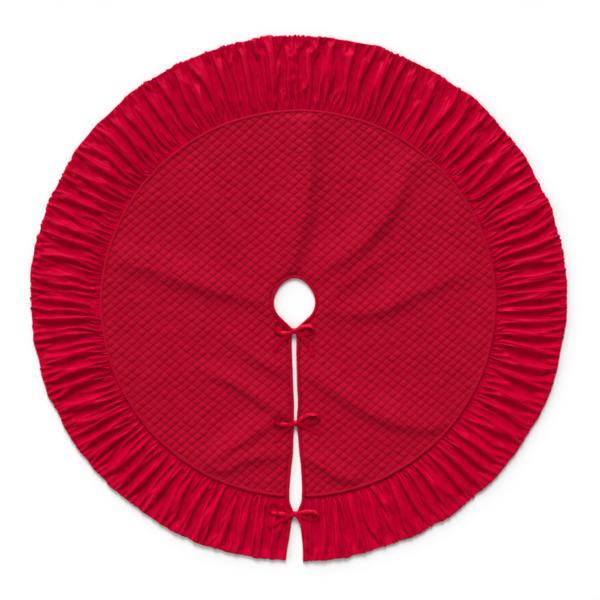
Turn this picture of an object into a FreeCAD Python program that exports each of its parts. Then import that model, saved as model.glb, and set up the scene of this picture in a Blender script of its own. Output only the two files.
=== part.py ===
"""Quilted Christmas tree skirt with a gathered satin border, a tied front slit and two front flaps.

The skirt lies flat on the floor. Z is up and Z = 0 is the floor. The origin is the centre of the
trunk opening. The slit runs from that opening towards -Y. Two radial fold lines, one on each side
of the slit, part the skirt into a back panel and two front flaps that fold up and back.
"""
import FreeCAD, Part
import math
import os

import Sketcher

doc = FreeCAD.newDocument("TreeSkirt")
Vector = FreeCAD.Vector

# ---------------------------------------------------------------- driving dimensions (mm, degrees)
DIMENSIONS = {
    # Outer hem, an ellipse because the hand-cut disc is a little wider than it is deep.
    "outer_half_width": 762.0,
    "outer_half_depth": 746.5,
    "outer_centre_x": 11.4,
    "outer_centre_y": 10.8,
    # Outer edge of the quilted panel, where the border starts.
    "quilt_half_width": 564.0,
    "quilt_half_depth": 552.0,
    "quilt_centre_x": 11.4,
    "quilt_centre_y": -4.3,
    # Trunk opening: a circle that closes to a point where the slit starts.
    "trunk_radius": 58.5,
    "collar_point": 76.7,
    # Slit: its width at places along it, and how far each place is from the trunk's centre.
    "slit_gap_upper": 9.0,
    "slit_gap_tie": 8.0,
    "slit_gap_widest": 36.0,
    "slit_gap_mouth": 45.0,
    "slit_widest": 546.0,
    "slit_mouth": 722.0,
    "slit_past_hem": 800.0,
    "tie_upper": 83.0,
    "tie_middle": 345.5,
    "tie_lower": 603.5,
    # Fold lines, measured from the slit's direction, and the gap that keeps the bodies apart.
    "fold_angle": 45.0,
    "fold_gap": 0.8,
    # Layers, from the floor up.
    "lining_thickness": 1.2,
    "batting_thickness": 7.0,
    "face_thickness": 2.0,
    "border_height": 14.0,
    "tape_width": 24.0,
    "tape_thickness": 1.2,
    "hem_width": 26.0,
    "hem_thickness": 1.4,
    "hem_inset": 3.0,
    "binding_width": 9.0,
    "binding_proud": 0.6,
    # Where the two strips of the border are joined at the centre back.
    "border_join_x": 5.0,
    # Ribbon ties and the thread tacks that hold their sewn ends.
    "sewn_length": 16.0,
    "ribbon_width": 9.5,
    "ribbon_thickness": 1.0,
    "loop_height": 5.0,
    "knot_length": 13.0,
    "knot_height": 7.0,
    "knot_split": 0.8,
    "tack_length": 8.0,
    "tack_width": 2.0,
    "tack_height": 0.8,
    # Tools that only cut: larger than the skirt.
    "cutter_radius": 1200.0,
    "cutter_height": 80.0,
}
SHEET = "Dimensions"
sheet = doc.addObject("Spreadsheet::Sheet", SHEET)
for row, (alias, value) in enumerate(DIMENSIONS.items(), start=1):
    sheet.set(f"A{row}", alias)
    sheet.set(f"B{row}", str(value))
    sheet.setAlias(f"B{row}", alias)
doc.recompute()

BODIES = ("back", "left", "right")
SIDES = {"left": -1.0, "right": 1.0}


def size(alias):
    """The value of one driving dimension."""
    return float(sheet.get(alias))


def bind(item, **expressions):
    """Bind properties to the sheet; a double underscore stands for a dot in a property's path."""
    for path, expression in expressions.items():
        item.setExpression(path.replace("__", "."), expression)
    return item


def cell(*terms):
    """An expression that adds up cells of the sheet; a term may carry its own sign or factor."""
    return " + ".join(term.replace("@", f"{SHEET}.") for term in terms)


# ---------------------------------------------------------------- outline of trunk opening and slit
class Outline:
    """A sketch of lines and arcs whose points are bound to the sheet."""

    ROOT = (-1, 1)
    Y_AXIS = -2

    def __init__(self, name):
        self.sketch = doc.addObject("Sketcher::SketchObject", name)

    def line(self, start, end):
        return self.sketch.addGeometry(Part.LineSegment(Vector(*start), Vector(*end)), False)

    def arc(self, centre, start, end):
        """A counterclockwise arc about centre, from start to end."""
        middle = Vector(*centre)
        first, last = Vector(*start) - middle, Vector(*end) - middle
        circle = Part.Circle(middle, Vector(0, 0, 1), first.Length)
        turn = (math.atan2(first.y, first.x), math.atan2(last.y, last.x))
        return self.sketch.addGeometry(Part.ArcOfCircle(circle, *turn), False)

    def constrain(self, kind, *what):
        return self.sketch.addConstraint(Sketcher.Constraint(kind, *what))

    def measure(self, kind, name, expression, *what):
        """A named dimension, driven by an expression."""
        index = self.sketch.addConstraint(Sketcher.Constraint(kind, *what))
        self.sketch.renameConstraint(index, name)
        self.sketch.setExpression(f"Constraints.{name}", expression)


def apex_arc_centre(widest, other):
    """Centre of the arc through both points that runs along Y at the widest one."""
    across = abs(widest[0]) - abs(other[0])
    radius = (across ** 2 + (widest[1] - other[1]) ** 2) / (2 * across)
    return (math.copysign(1, widest[0]) * (abs(widest[0]) - radius), widest[1])


def opening_outline():
    """Trunk opening and slit as one closed outline, the same on both sides of the Y axis."""
    outline = Outline("OpeningOutline")
    stations = [
        ("slit_gap_upper", "collar_point"),
        ("slit_gap_tie", "tie_middle"),
        ("slit_gap_widest", "slit_widest"),
        ("slit_gap_tie", "tie_lower"),
        ("slit_gap_mouth", "slit_mouth"),
        ("slit_gap_mouth", "slit_past_hem"),
    ]
    points = [(size(gap) / 2, -size(reach)) for gap, reach in stations]
    point, reach = points[0], math.hypot(*points[0])
    touch = math.atan2(point[1], point[0]) + math.acos(size("trunk_radius") / reach)
    tangent = (size("trunk_radius") * math.cos(touch), size("trunk_radius") * math.sin(touch))

    def mirror(place):
        return (-place[0], place[1])

    circle = outline.arc((0, 0), tangent, mirror(tangent))
    outline.constrain("Coincident", circle, 3, *Outline.ROOT)
    outline.measure("Radius", "trunk_radius", cell("@trunk_radius"), circle, size("trunk_radius"))

    # Each piece of one side: geometry, the end nearer the trunk, the end nearer the hem.
    def side(flip):
        collar, middle, widest, lower, mouth, past = [flip(place) for place in points]
        right = collar[0] > 0
        pieces = [(outline.line(flip(tangent), collar), 1, 2), (outline.line(collar, middle), 1, 2)]
        for apex, near, far in ((widest, middle, widest), (widest, widest, lower), (mouth, lower, mouth)):
            other = far if apex == near else near
            centre = apex_arc_centre(apex, other)
            if right:
                pieces.append((outline.arc(centre, far, near), 2, 1))
            else:
                pieces.append((outline.arc(centre, near, far), 1, 2))
            geometry, near_end, far_end = pieces[-1]
            outline.constrain("Horizontal", geometry, 3, geometry, near_end if apex == near else far_end)
        pieces.append((outline.line(mouth, past), 1, 2))
        for (above, _, above_far), (below, below_near, _) in zip(pieces, pieces[1:]):
            outline.constrain("Coincident", above, above_far, below, below_near)
        return pieces

    right_side, left_side = side(lambda place: place), side(mirror)
    outline.constrain("Tangent", circle, 1, right_side[0][0], 1)
    outline.constrain("Tangent", circle, 2, left_side[0][0], 1)
    end = outline.line(points[-1], mirror(points[-1]))
    outline.constrain("Coincident", right_side[-1][0], 2, end, 1)
    outline.constrain("Coincident", left_side[-1][0], 2, end, 2)
    for number, (gap, reach) in enumerate(stations):
        geometry, _, far = right_side[number]
        twin, _, twin_far = left_side[number]
        outline.constrain("Symmetric", geometry, far, twin, twin_far, Outline.Y_AXIS)
        outline.measure("DistanceX", f"half_gap_{number}", cell(f"@{gap} / 2"),
                        *Outline.ROOT, geometry, far, size(gap) / 2)
        outline.measure("DistanceY", f"reach_{number}", cell(f"@{reach}"),
                        geometry, far, *Outline.ROOT, size(reach))
    return outline.sketch


# ---------------------------------------------------------------- flat solids and the tools that cut them
def slab(name, base, bottom, thickness):
    """A plate of one thickness, raised from a flat outline."""
    bind(base, Placement__Base__z=bottom)
    plate = doc.addObject("Part::Extrusion", name)
    plate.Base = base
    plate.DirMode = "Custom"
    plate.Dir = Vector(0, 0, 1)
    plate.Solid = True
    return bind(plate, LengthFwd=thickness)


def disc(name, kind, grow, bottom, thickness):
    """An elliptical plate that follows the hem ("outer") or the panel's edge ("quilt")."""
    ellipse = doc.addObject("Part::Ellipse", f"{name}Outline")
    bind(ellipse,
         MajorRadius=cell(f"@{kind}_half_width", grow),
         MinorRadius=cell(f"@{kind}_half_depth", grow),
         Placement__Base__x=cell(f"@{kind}_centre_x"),
         Placement__Base__y=cell(f"@{kind}_centre_y"))
    return slab(name, ellipse, bottom, thickness)


def cut(name, base, *tools):
    """base with every tool taken away in turn."""
    for number, tool in enumerate(tools):
        step = doc.addObject("Part::Cut", name if number == len(tools) - 1 else f"{name}Step{number}")
        step.Base, step.Tool = base, tool
        base = step
    return base


def common(name, *shapes):
    """What all the shapes share."""
    result = doc.addObject("Part::MultiCommon", name)
    result.Shapes = list(shapes)
    return result


opening = opening_outline()
opening_cutter = slab("OpeningCutter", opening, cell("-@cutter_height / 2"), cell("@cutter_height"))
bound_outline = doc.addObject("Part::Offset2D", "BoundOutline")
bound_outline.Source = opening
bind(bound_outline, Value=cell("@binding_width"))
bound_cutter = slab("BoundCutter", bound_outline, "0", cell("@cutter_height"))

SECTORS = {
    "back": ("360 - 2 * @fold_angle", "@fold_angle - 90", "@fold_gap / sin(@fold_angle * 1deg)"),
    "left": ("@fold_angle", "-90 - @fold_angle", "0"),
    "right": ("@fold_angle", "-90", "0"),
}


def sector(body):
    """A pie-shaped tool about the trunk's centre that holds one body's share of every layer."""
    span, start, shift = SECTORS[body]
    pie = doc.addObject("Part::Cylinder", f"{body.capitalize()}Sector")
    pie.Placement = FreeCAD.Placement(Vector(), FreeCAD.Rotation(Vector(0, 0, 1), 1))
    return bind(pie, Radius=cell("@cutter_radius"), Height=cell("@cutter_height"), Angle=cell(span),
                Placement__Base__z=cell("-@cutter_height / 2"), Placement__Base__y=cell(shift),
                Placement__Rotation__Angle=cell(start))


sectors = {body: sector(body) for body in BODIES}
nodes = {}


def keep(name, item):
    """Make an object one of the skirt's pieces; its Label names its file."""
    item.Label = name
    nodes[name] = item
    return item


def share_out(name, layer, bodies=BODIES):
    """One piece of a layer for each body."""
    for body in bodies:
        keep(f"{name}_{body}", common(f"{layer.Name}_{body}", layer, sectors[body]))


# ---------------------------------------------------------------- layers, from the floor up
QUILT_TOP = ("@lining_thickness", "@batting_thickness", "@face_thickness")
BINDING_TOP = QUILT_TOP + ("@binding_proud",)
BORDER_TOP = ("@lining_thickness", "@border_height")

lining = cut("Lining", disc("LiningDisc", "outer", "0", "0", cell("@lining_thickness")),
             bound_cutter)

tape = cut("SeamTape",
           disc("TapeDisc", "quilt", "@tape_width / 2", cell("@lining_thickness"), cell("@tape_thickness")),
           disc("TapeHole", "quilt", "-@tape_width / 2", cell("@lining_thickness"), cell("@tape_thickness")),
           bound_cutter)

hem = cut("HemTape",
          disc("HemDisc", "outer", "-@hem_inset", cell("@lining_thickness"), cell("@hem_thickness")),
          disc("HemHole", "outer", "-@hem_inset - @hem_width", cell("@lining_thickness"),
               cell("@hem_thickness")),
          bound_cutter)

batting = cut("Batting",
              disc("BattingDisc", "quilt", "0", cell("@lining_thickness"), cell("@batting_thickness")),
              tape, bound_cutter)

face = cut("QuiltedFace",
           disc("FaceDisc", "quilt", "0", cell(*QUILT_TOP[:2]), cell("@face_thickness")),
           bound_cutter)

border = cut("RuchedBorder",
             disc("BorderDisc", "outer", "0", cell("@lining_thickness"), cell("@border_height")),
             disc("BorderHole", "quilt", "0", cell("@lining_thickness"), cell("@border_height")),
             tape, hem, bound_cutter)

binding = cut("Binding",
              common("BindingStrip", bound_cutter,
                     disc("BindingDisc", "outer", "0", "0", cell(*BINDING_TOP))),
              opening_cutter)

share_out("lining", lining)
share_out("seam_tape", tape)
share_out("hem_tape", hem)
share_out("batting", batting)
share_out("quilted_face", face)
share_out("ruched_border", border, ("left", "right"))


# ---------------------------------------------------------------- border strips joined at the back
def half_space(name, side):
    """A box that holds everything on one side of the centre-back join."""
    box = doc.addObject("Part::Box", name)
    reach = {"left": "@border_join_x - @cutter_radius", "right": "@border_join_x"}[side]
    return bind(box, Length=cell("@cutter_radius"), Width=cell("2 * @cutter_radius"),
                Height=cell("@cutter_height"), Placement__Base__x=cell(reach),
                Placement__Base__y=cell("-@cutter_radius"), Placement__Base__z=cell("-@cutter_height / 2"))


for side in SIDES:
    strip = common(f"BorderBack_{side}", border, sectors["back"], half_space(f"Half_{side}", side))
    keep(f"ruched_border_back_{side}", strip)

# ---------------------------------------------------------------- binding: collar and slit edges
collar_zone = bind(doc.addObject("Part::Cylinder", "CollarZone"),
                   Radius=cell("@collar_point", "@binding_width"), Height=cell("@cutter_height"),
                   Placement__Base__z=cell("-@cutter_height / 2"))
collar = common("Collar", binding, collar_zone)
share_out("collar_binding", collar)
slit_binding = cut("SlitBinding", binding, collar_zone)
share_out("slit_binding", slit_binding, tuple(SIDES))


# ---------------------------------------------------------------- ribbon ties
# Each tie is one ribbon, given as it lies: where its loop and its tail point and how long they are.
# Angles are from the +X direction on the right side, mirrored on the left.
TIES = {
    "upper": {
        "left": {"loop": (29.0, 54.0), "loop_back": (3.0, 50.0), "tail": (-42.0, 78.0)},
        "right": {"loop": (15.0, 60.0), "loop_back": (-8.0, 58.0), "tail": (-50.0, 84.0)},
    },
    "middle": {
        "left": {"loop": (14.0, 56.0), "loop_back": (-4.0, 52.0), "tail": (-47.0, 72.0)},
        "right": {"loop": (20.0, 68.0), "loop_back": (3.0, 64.0), "tail": (-24.0, 76.0)},
    },
    "lower": {
        "left": {"loop": (13.0, 68.0), "loop_back": (0.0, 64.0), "tail": (-27.0, 78.0)},
        "right": {"loop": (5.0, 62.0), "loop_back": (-12.0, 60.0), "tail": (-62.0, 72.0)},
    },
}
KNOT_X = {"upper": -2.0, "middle": 1.0, "lower": 3.0}
LAY_HEIGHT = {"upper": BINDING_TOP, "middle": BINDING_TOP, "lower": BORDER_TOP}


def height_of(terms):
    """Height of a layer's top, from the same cells as its expression."""
    return sum(size(term[1:]) for term in terms)


def ribbon(start, turn, bottom, thickness, mirror):
    """A flat stretch of ribbon with a round end, from a point, in a direction and at a height."""
    angle, length = turn
    width = size("ribbon_width")
    strip = Part.makeBox(length, width, thickness, Vector(0, -width / 2, 0))
    shape = strip.fuse(Part.makeCylinder(width / 2, thickness, Vector(length, 0, 0)))
    heading = angle if mirror > 0 else 180 - angle
    shape.Placement = FreeCAD.Placement(Vector(start.x, start.y, bottom),
                                        FreeCAD.Rotation(Vector(0, 0, 1), heading))
    return shape


def loop_tip(start, turn, bottom, mirror):
    """The round fold where a loop's lower strand turns back over itself."""
    angle, length = turn
    tip = start + Vector(mirror * math.cos(math.radians(angle)), math.sin(math.radians(angle)), 0) * length
    return Part.makeCylinder(size("ribbon_width") / 2, size("loop_height"), Vector(tip.x, tip.y, bottom))


def tie(level, side):
    """One ribbon: its sewn end on the binding, its half of the knot, its loop and its tail."""
    mirror, lies = SIDES[side], TIES[level][side]
    bottom, sewn_bottom = height_of(LAY_HEIGHT[level]), height_of(BINDING_TOP)
    width, thickness = size("ribbon_width"), size("ribbon_thickness")
    knot = Vector(KNOT_X[level], -size(f"tie_{level}"), 0)
    split = knot.x + mirror * size("knot_split") / 2
    start = Vector(split + mirror * width / 2, knot.y, 0)
    binding_edge = mirror * (size("slit_gap_tie") / 2 + size("binding_width"))
    sewn_end = mirror * (size("slit_gap_tie") / 2 + size("sewn_length"))
    riser = Part.makeBox(abs(binding_edge - split), width, bottom + thickness - sewn_bottom,
                         Vector(min(binding_edge, split), knot.y - width / 2, sewn_bottom))
    sewn = Part.makeBox(abs(sewn_end - split), width, thickness,
                        Vector(min(sewn_end, split), knot.y - width / 2, bottom))
    half_knot = Part.makeBox(width, size("knot_length"), size("knot_height"),
                             Vector(min(split, split + mirror * width),
                                    knot.y - size("knot_length") / 2, bottom))
    strands = [
        ribbon(start, lies["loop_back"], bottom, thickness, mirror),
        ribbon(start, lies["loop"], bottom + size("loop_height") - thickness, thickness, mirror),
        ribbon(start, lies["tail"], bottom, thickness, mirror),
        loop_tip(start, lies["loop"], bottom, mirror),
        loop_tip(start, lies["loop_back"], bottom, mirror),
    ]
    reach = size("cutter_radius")
    own_side = Part.makeBox(reach, 2 * reach, size("cutter_height"),
                            Vector(split if mirror > 0 else split - reach, -reach, 0))
    item = doc.addObject("Part::Feature", f"Tie_{level}_{side}")
    item.Shape = riser.multiFuse([sewn, half_knot] + strands).removeSplitter().common(own_side)
    item.Placement = FreeCAD.Placement()
    return keep(f"tie_{level}_{side}", item)


def tacks(side):
    """The thread bar tacks across the three sewn ribbon ends of one flap."""
    mirror = SIDES[side]
    bars = []
    for level in TIES:
        bar = doc.addObject("Part::Box", f"Tack_{level}_{side}")
        top = LAY_HEIGHT[level] + ("@ribbon_thickness",)
        inner = f"{mirror} * (@slit_gap_tie / 2 + @sewn_length - @tack_width) - @tack_width / 2"
        bind(bar, Length=cell("@tack_width"), Width=cell("@tack_length"), Height=cell("@tack_height"),
             Placement__Base__x=cell(inner), Placement__Base__z=cell(*top),
             Placement__Base__y=cell(f"-@tie_{level}", "-@tack_length / 2"))
        bars.append(bar)
    group = doc.addObject("Part::Compound", f"Tacks_{side}")
    group.Links = bars
    return keep(f"bar_tacks_{side}", group)


for side in SIDES:
    for level in TIES:
        tie(level, side)
    tacks(side)

# ---------------------------------------------------------------- check and write
doc.recompute()
for item in doc.Objects:
    if "Invalid" in item.State or "Error" in item.State:
        raise RuntimeError(f"{item.Name} failed: {item.State}")
os.makedirs("parts", exist_ok=True)
for name, item in nodes.items():
    shape = item.Shape
    if shape.isNull() or not shape.isValid() or not shape.Solids:
        raise RuntimeError(f"{name} has no valid solid")
    shape.exportStep(f"parts/{name}.step")
    box = shape.BoundBox
    print(f"{name:28s} solids {len(shape.Solids)}  volume {shape.Volume / 1000:9.1f} cm3  "
          f"z {box.ZMin:6.2f} to {box.ZMax:6.2f}")
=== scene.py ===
"""Looks of a quilted satin tree skirt with a gathered border, laid flat and seen from above.

Lengths are in metres, in the part's own frame: Z is up, the origin is the centre of the trunk
opening on the floor, and the slit runs towards -Y. Cloth is built as left and right halves that
meet at the centre back.
"""
import math

import bpy
import numpy as np
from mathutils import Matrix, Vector


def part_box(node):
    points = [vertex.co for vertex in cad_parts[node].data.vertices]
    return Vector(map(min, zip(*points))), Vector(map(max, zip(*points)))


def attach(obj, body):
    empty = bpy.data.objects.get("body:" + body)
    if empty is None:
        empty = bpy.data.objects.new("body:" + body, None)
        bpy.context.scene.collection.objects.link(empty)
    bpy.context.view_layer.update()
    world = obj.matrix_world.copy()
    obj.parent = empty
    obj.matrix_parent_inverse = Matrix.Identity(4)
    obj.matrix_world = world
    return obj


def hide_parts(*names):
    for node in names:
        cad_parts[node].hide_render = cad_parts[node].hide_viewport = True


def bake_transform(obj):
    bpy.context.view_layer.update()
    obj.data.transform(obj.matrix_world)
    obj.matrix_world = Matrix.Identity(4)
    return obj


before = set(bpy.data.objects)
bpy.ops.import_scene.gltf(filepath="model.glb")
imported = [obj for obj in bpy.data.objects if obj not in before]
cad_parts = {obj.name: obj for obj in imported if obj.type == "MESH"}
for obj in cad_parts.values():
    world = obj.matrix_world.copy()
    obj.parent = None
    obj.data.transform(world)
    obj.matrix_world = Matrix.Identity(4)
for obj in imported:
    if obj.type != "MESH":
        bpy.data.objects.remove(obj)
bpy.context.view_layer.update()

MM = 0.001
SIDES = {"left": -1.0, "right": 1.0}
LEVELS = ("upper", "middle", "lower")
FLAPS = {"left": "left_front_flap", "right": "right_front_flap"}
CENTRE_BACK = {"left": -3 * math.pi / 2, "right": math.pi / 2}


# ---------------- sizes read from the frame
def node_points(name):
    """All vertices of a CAD node, as an array."""
    return np.array([vertex.co[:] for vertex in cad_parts[name].data.vertices])


def edge_ellipse(node, beyond):
    """Centre and half axes of the ellipse through a node's points beyond a radius."""
    points = node_points(node)
    x, y = points[np.hypot(points[:, 0], points[:, 1]) > beyond, :2].T
    a, b, c, d = np.linalg.lstsq(np.stack([x * x, y * y, x, y], 1), np.ones(len(x)), rcond=None)[0]
    centre = np.array([-c / (2 * a), -d / (2 * b)])
    level = 1 + a * centre[0] ** 2 + b * centre[1] ** 2
    return centre, np.array([math.sqrt(level / a), math.sqrt(level / b)])


def tie_levels():
    """Distance of each bow from the trunk's centre, read from a flap's bar tacks."""
    along = np.sort(-node_points("bar_tacks_left")[:, 1])
    groups = np.split(along, np.flatnonzero(np.diff(along) > 0.05) + 1)
    return dict(zip(LEVELS, [float((group[0] + group[-1]) / 2) for group in groups]))


OUTER = edge_ellipse("lining_back", 0.66)
QUILT = edge_ellipse("quilted_face_back", 0.46)
TRUNK_RADIUS = float(np.hypot(*node_points("collar_binding_back")[:, :2].T).min())
TIE_AT = tie_levels()

# ---------------- outline of the slit and the opening
# Distance from the trunk's centre to the point where the opening closes, and spacing of edge points.
COLLAR_POINT = 0.0767
EDGE_STEP = 0.0015
# Half the width of the slit at distances from the trunk's centre.
SLIT_HALF = (
    (COLLAR_POINT, 0.0040), (0.100, 0.0058), (0.160, 0.0060), (0.230, 0.0054), (0.300, 0.0050),
    (TIE_AT["middle"], 0.0036), (0.385, 0.0064), (0.430, 0.0092), (0.475, 0.0142), (0.515, 0.0168),
    (0.545, 0.0174), (0.572, 0.0155), (0.590, 0.0085), (TIE_AT["lower"], 0.0035), (0.622, 0.0100),
    (0.645, 0.0142), (0.675, 0.0184), (0.705, 0.0222), (0.735, 0.0240),
)
# X of the slit's middle at such distances.
SLIT_MIDDLE = (
    (COLLAR_POINT, -0.0010), (0.150, -0.0010), (0.190, 0.0004), (0.240, 0.0018), (0.290, 0.0040),
    (0.330, 0.0026), (0.380, 0.0036), (0.440, 0.0048), (0.520, 0.0036), (0.600, 0.0025),
    (0.660, 0.0032), (0.735, -0.0002),
)
# How far the opening is drawn out at the back, and how narrowly.
STRETCH, STRETCH_POWER = 0.0090, 5
# Distance from the slit's edge over which a grid is shifted to follow it.
FOLLOW_REACH = 0.05


def on_ellipse(ellipse, angle, grow=0.0):
    """Points of an ellipse at angles from its centre, moved out by grow."""
    centre, half = ellipse
    return np.stack([centre[0] + (half[0] + grow) * np.cos(angle),
                     centre[1] + (half[1] + grow) * np.sin(angle)], -1)


def ellipse_angle(ellipse, point):
    """The angle that on_ellipse needs for a point on the ellipse."""
    centre, half = ellipse
    return math.atan2((point[1] - centre[1]) / half[1], (point[0] - centre[0]) / half[0])


def half_perimeter(ellipse):
    """Length of half an ellipse."""
    return math.pi * float(ellipse[1].sum()) / 2


def between(old, new):
    """Index of the old value before each new one, and the share of the way to the next."""
    i = np.clip(np.searchsorted(old, new) - 1, 0, len(old) - 2)
    return i, (new - old[i]) / (old[i + 1] - old[i])


def smooth_curve(knots, at):
    """A smooth line through a few points."""
    x, y = np.array(knots).T
    slope = np.gradient(y, x)
    i, t = between(x, np.clip(at, x[0], x[-1]))
    span = x[i + 1] - x[i]
    return ((1 + 2 * t) * (1 - t) ** 2 * y[i] + t * (1 - t) ** 2 * span * slope[i]
            + t * t * (3 - 2 * t) * y[i + 1] + t * t * (t - 1) * span * slope[i + 1])


def path_length(points):
    """Distance along a line at each of its points."""
    steps = np.linalg.norm(np.diff(points, axis=0), axis=1)
    return np.concatenate([[0], np.cumsum(steps)])


def sampled(points, along, at):
    """Points of a line at distances along it."""
    return np.stack([np.interp(at, along, column) for column in points.T], -1)


def spaced(points, count):
    """The same line with evenly spaced points."""
    along = path_length(points)
    return sampled(points, along, np.linspace(0, along[-1], count))


def smoothed(line, passes):
    """A line with its inner points drawn towards their neighbours."""
    line = line.copy()
    for _ in range(passes):
        line[1:-1] = 0.25 * line[:-2] + 0.5 * line[1:-1] + 0.25 * line[2:]
    return line


def unit(vectors):
    """The same directions, each one long."""
    return vectors / np.linalg.norm(vectors, axis=1, keepdims=True)


def slit_x(side, distance, inset=0.0):
    """X of the slit's edge at distances from the trunk's centre, or inset into the cloth."""
    distance = np.asarray(distance, float)
    return smooth_curve(SLIT_MIDDLE, distance) + SIDES[side] * (smooth_curve(SLIT_HALF, distance) + inset)


def slit_edge(side, start, end):
    """Points down the slit's edge from one distance to another."""
    distance = np.linspace(start, end, int(abs(end - start) / EDGE_STEP) + 1)
    return np.stack([slit_x(side, distance), -distance], -1)


def collar_touch(side):
    """Angle at which the collar's straight side meets the trunk circle."""
    point = np.array([float(slit_x(side, COLLAR_POINT)), -COLLAR_POINT])
    turn = math.acos(TRUNK_RADIUS / float(np.hypot(*point)))
    return math.atan2(point[1], point[0]) + SIDES[side] * turn


def stretch(angle):
    """How far the opening is drawn out at the back."""
    return STRETCH * np.maximum(np.sin(angle), 0) ** STRETCH_POWER


def collar_edge(side, inset=0.0):
    """Half of the trunk opening, from the slit to the centre back."""
    low = COLLAR_POINT + 0.6 * inset
    point = np.array([float(slit_x(side, low, inset)), -low])
    start, end = collar_touch(side), CENTRE_BACK[side]
    angle = np.linspace(start, end, int(abs(end - start) * TRUNK_RADIUS / EDGE_STEP) + 1)
    arc = (TRUNK_RADIUS + inset + stretch(angle))[:, None] * np.stack([np.cos(angle), np.sin(angle)], -1)
    run = np.linspace(0, 1, int(np.hypot(*(arc[0] - point)) / EDGE_STEP) + 1)[:-1, None]
    return np.concatenate([point + (arc[0] - point) * run, arc])


def slit_end(side, ellipse, grow=0.0):
    """The point where the slit's edge meets an ellipse."""
    distance = np.linspace(0.45, 0.80, 3501)
    x = slit_x(side, distance)
    (cx, cy), (rx, ry) = ellipse
    inside = ((x - cx) / (rx + grow)) ** 2 + ((-distance - cy) / (ry + grow)) ** 2 < 1
    return np.array([x[inside][-1], -distance[inside][-1]])


def half_edge(side, ellipse, count, grow=0.0):
    """Half of an ellipse, from the slit to the centre back."""
    start = ellipse_angle(ellipse, slit_end(side, ellipse, grow))
    return on_ellipse(ellipse, np.linspace(start, CENTRE_BACK[side], count), grow)


def follow_slit(place, line, side, inset=0.0):
    """Shift a grid near one of its lines, which then lies on the slit's edge."""
    edge = place[line].copy()
    shift = slit_x(side, -edge[:, 1], inset) - edge[:, 0]
    apart = np.hypot(*np.moveaxis(place - edge, -1, 0))
    place[..., 0] += shift * np.exp(-(apart / FOLLOW_REACH) ** 2)


def half_skirt(side, columns, rows, hem_inset, edge_inset, ellipse):
    """A grid over half of the skirt: columns fan from the trunk opening, rows run round it."""
    inner = spaced(collar_edge(side, edge_inset), columns)
    outer = half_edge(side, ellipse, columns, -hem_inset)
    v = np.linspace(0, 1, rows)[None, :, None]
    place = inner[:, None] * (1 - v) + outer[:, None] * v
    follow_slit(place, 0, side, edge_inset)
    return place


# ---------------- small noise fields
NOISE_CELLS = 64
OCTAVES = 3


def ease(value, low, high):
    """0 below low, 1 above high, smooth between."""
    t = np.clip((value - low) / (high - low), 0, 1)
    return t * t * (3 - 2 * t)


def value_noise(x, y, seed):
    """Smooth noise between -1 and 1 over the plane, one lump per unit."""
    lattice = np.random.default_rng(seed).uniform(-1, 1, (NOISE_CELLS, NOISE_CELLS)).astype(np.float32)
    ix, iy = np.floor(x).astype(int), np.floor(y).astype(int)
    fx, fy = ease(x - ix, 0, 1), ease(y - iy, 0, 1)
    west, east = ix % NOISE_CELLS, (ix + 1) % NOISE_CELLS
    south, north = iy % NOISE_CELLS, (iy + 1) % NOISE_CELLS
    return ((lattice[west, south] * (1 - fx) + lattice[east, south] * fx) * (1 - fy)
            + (lattice[west, north] * (1 - fx) + lattice[east, north] * fx) * fy)


def lumps(x, y, size, height, seed):
    """Noise over the skirt, with lumps of one size and height."""
    return height * value_noise(x / size, y / size, seed)


def line_noise(x, seed):
    """Smooth noise along a line, with finer and weaker octaves."""
    return sum(value_noise(x * 2 ** octave, 0.5, seed + octave) / 2 ** octave for octave in range(OCTAVES))


# ---------------- making meshes
def mesh_object(name, points, faces, material, uv=None):
    """A smooth mesh from arrays of points and faces."""
    mesh = bpy.data.meshes.new(name)
    mesh.from_pydata(points.tolist(), [], faces.tolist())
    mesh.shade_smooth()
    mesh.materials.append(MATERIALS[material])
    item = bpy.data.objects.new(name, mesh)
    bpy.context.scene.collection.objects.link(item)
    if uv is not None:
        add_uv(item, "cloth", uv)
    return item


def add_uv(item, name, uv):
    """A UV map that gives each vertex one place."""
    mesh = item.data
    corners = np.empty(len(mesh.loops), np.int32)
    mesh.loops.foreach_get("vertex_index", corners)
    layer = mesh.uv_layers.new(name=name)
    layer.data.foreach_set("uv", np.asarray(uv, np.float32)[corners].ravel())


def pairs(first, second):
    """A grid of pairs, from one list down it and one across it."""
    return np.stack(np.broadcast_arrays(first[:, None], second[None, :]), -1)


def grid_faces(rows, columns, flip=False):
    """Quads of a grid whose points run along each row in turn."""
    index = np.arange(rows * columns).reshape(rows, columns)
    quads = [index[:-1, :-1], index[1:, :-1], index[1:, 1:], index[:-1, 1:]]
    if flip:
        quads = quads[::-1]
    return np.stack(quads, -1).reshape(-1, 4)


def grid_object(name, grid, material, uv, flip=False):
    """A mesh from a grid of points."""
    faces = grid_faces(*grid.shape[:2], flip)
    return mesh_object(name, grid.reshape(-1, 3), faces, material, uv.reshape(-1, 2))


def swept(line, inward, distance, height):
    """A grid beside a line, from distances in from it and heights."""
    grid = np.empty((*distance.shape, 3))
    grid[..., :2] = line[:, None] + inward[:, None] * distance[..., None]
    grid[..., 2] = height
    return grid


def bend(item, replaced):
    """Hide the CAD nodes that a piece replaces, and bake its transform into its mesh."""
    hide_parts(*replaced)
    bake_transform(item)


# ---------------- materials
# A wave texture repeats every 0.314 units at scale 1.
WAVE_UNIT = 0.314
# Size of the patches of colour, and where the two colours lie on their noise.
PATCH = 0.03
PATCH_STOPS = (0.35, 0.68)
# Width of a stitch as a share of a diamond's side, stitches along that side, and the share they fill.
STITCH_WIDTH = 0.045
STITCHES = 7
STITCH_SHARE = 0.72
# Fine creases of the border in a metre, along the strip and across it.
WRINKLES = (150.0, 11.0, 1.0)


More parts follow.
